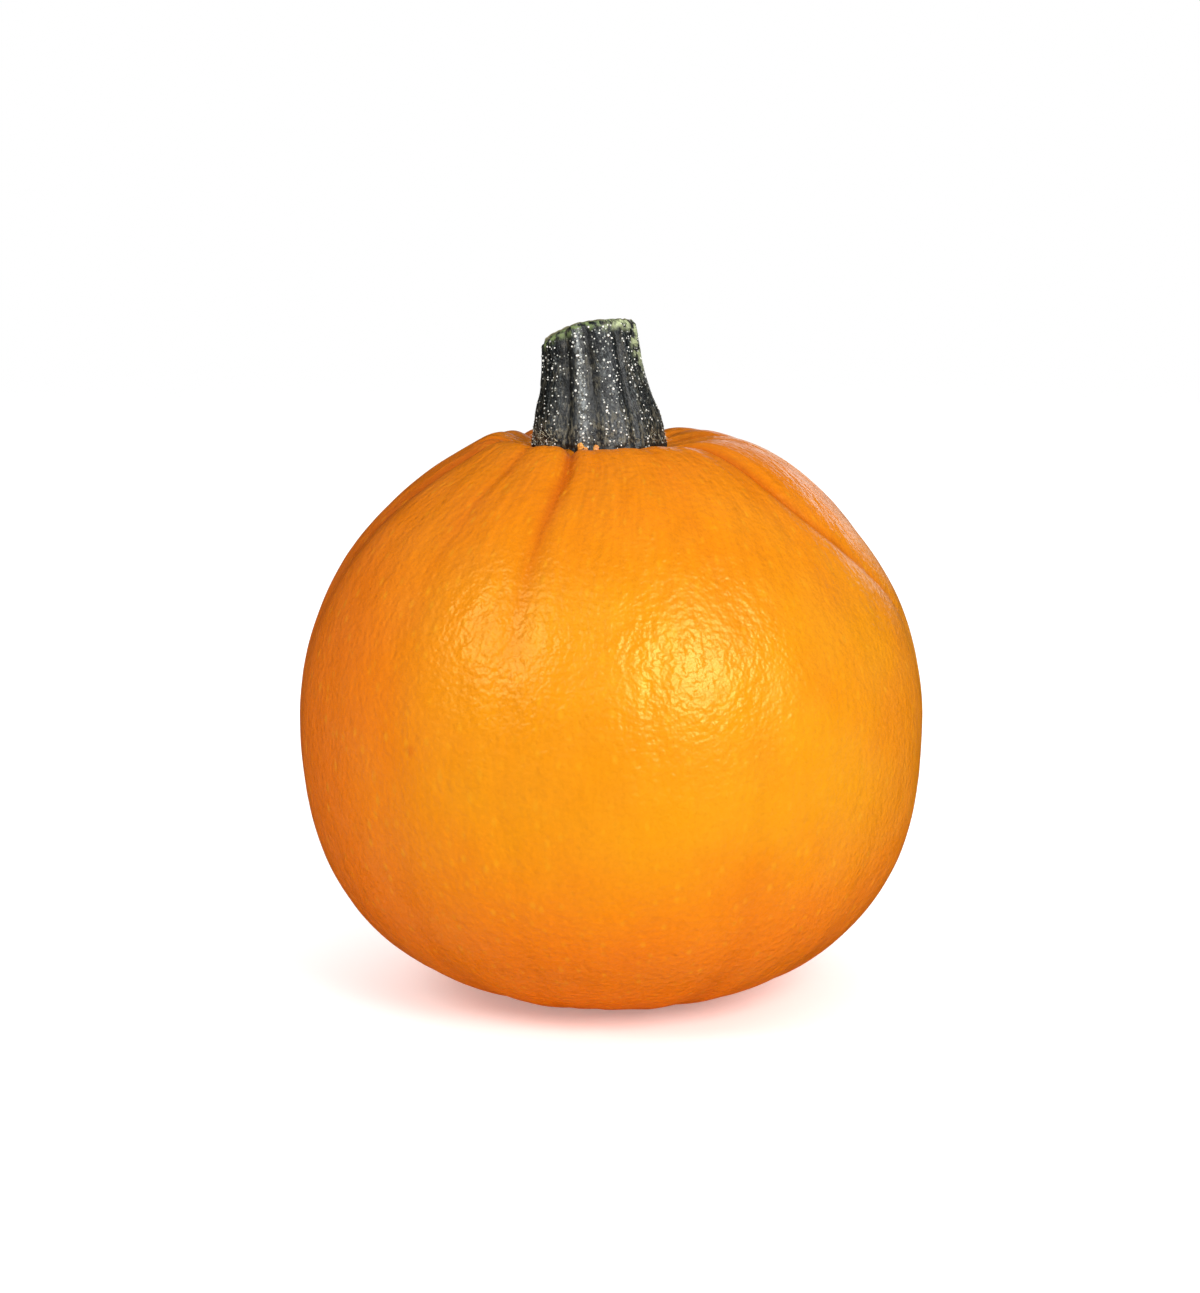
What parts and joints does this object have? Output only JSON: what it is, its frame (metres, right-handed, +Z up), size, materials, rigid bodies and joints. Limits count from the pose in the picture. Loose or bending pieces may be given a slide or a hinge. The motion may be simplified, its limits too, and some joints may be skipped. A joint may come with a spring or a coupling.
{
  "type": "pumpkin",
  "caption": "Small round orange pumpkin with shallow ribs and a short, dark, ribbed stem, standing on its flat blossom end.",
  "frame": {"origin": "on the resting plane, under the middle of the whole pumpkin's outline", "axes": "+Z up, from the blossom end to the stem; -Y is the front, the side with the deeper furrow left of the middle; the stem leans towards -X"},
  "size_m": [0.1648, 0.1658, 0.1798],
  "materials": {
    "rind": "waxy orange skin, semi-gloss, with a fine pebbled texture",
    "stem_skin": "dry, dark slate-green and woody, matt, with small pale corky warts along the ribs"
  },
  "bodies": {
    "root": {"fruit": "rind", "stem": "stem_skin"}
  },
  "joints": []
}
